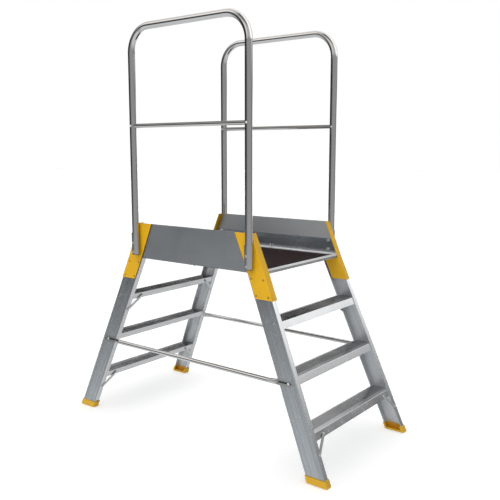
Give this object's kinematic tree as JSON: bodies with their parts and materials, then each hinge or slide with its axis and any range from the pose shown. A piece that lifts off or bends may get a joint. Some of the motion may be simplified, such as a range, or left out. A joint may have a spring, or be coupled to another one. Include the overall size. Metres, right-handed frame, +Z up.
{
  "type": "double-sided step ladder",
  "caption": "Free-standing aluminium step ladder with treads on both sides, a railed platform with toe boards, corner brackets, braces, tie bars and moulded feet.",
  "frame": {"origin": "on the floor under the middle of the platform", "axes": "+X is the walking direction over the ladder, +Y runs across it, +Z is up"},
  "size_m": [1.5962, 0.7632, 1.9899],
  "materials": {
    "ladder_aluminium": "mill extruded",
    "sheet_aluminium": "rolled sheet",
    "rail_aluminium": "drawn tube",
    "zinc_steel": "zinc plated",
    "bright_fastener": "zinc plated",
    "yellow_paint": "powder coated",
    "yellow_plastic": "moulded",
    "black_plastic": "moulded",
    "deck_board": "film-faced plywood"
  },
  "bodies": {
    "root": {"brace_front_low_left_far": "zinc_steel", "brace_front_low_left_near": "zinc_steel", "brace_front_low_right_far": "zinc_steel", "brace_front_low_right_near": "zinc_steel", "brace_rear_high_left_far": "zinc_steel", "brace_rear_high_left_near": "zinc_steel", "brace_rear_high_right_far": "zinc_steel", "brace_rear_high_right_near": "zinc_steel", "brace_rear_low_left_far": "zinc_steel", "brace_rear_low_left_near": "zinc_steel", "brace_rear_low_right_far": "zinc_steel", "brace_rear_low_right_near": "zinc_steel", "brace_rivets": "bright_fastener", "brace_spacers": "zinc_steel", "bracket_left_far": "yellow_paint", "bracket_left_near": "yellow_paint", "bracket_right_far": "yellow_paint", "bracket_right_near": "yellow_paint", "bracket_rivets": "bright_fastener", "deck_bolts": "bright_fastener", "deck_panel": "deck_board", "end_angle_left": "sheet_aluminium", "end_angle_right": "sheet_aluminium", "foot_left_far": "yellow_plastic", "foot_left_near": "yellow_plastic", "foot_right_far": "yellow_plastic", "foot_right_near": "yellow_plastic", "handrail_far": "rail_aluminium", "handrail_near": "rail_aluminium", "mid_rail_far": "rail_aluminium", "mid_rail_near": "rail_aluminium", "nuts": "bright_fastener", "post_bolts": "bright_fastener", "post_plugs": "black_plastic", "post_saddles": "zinc_steel", "rail_rivets": "bright_fastener", "seat_screws": "bright_fastener", "side_angle_far": "sheet_aluminium", "side_angle_near": "sheet_aluminium", "stiffener_left": "sheet_aluminium", "stiffener_right": "sheet_aluminium", "stile_left_far": "ladder_aluminium", "stile_left_near": "ladder_aluminium", "stile_right_far": "ladder_aluminium", "stile_right_near": "ladder_aluminium", "tie_bar_far": "rail_aluminium", "tie_bar_near": "rail_aluminium", "tie_bolts": "bright_fastener", "toe_board_far": "sheet_aluminium", "toe_board_near": "sheet_aluminium", "tread_left_1": "ladder_aluminium", "tread_left_2": "ladder_aluminium", "tread_left_3": "ladder_aluminium", "tread_right_1": "ladder_aluminium", "tread_right_2": "ladder_aluminium", "tread_right_3": "ladder_aluminium", "tread_screws": "bright_fastener"}
  },
  "joints": []
}
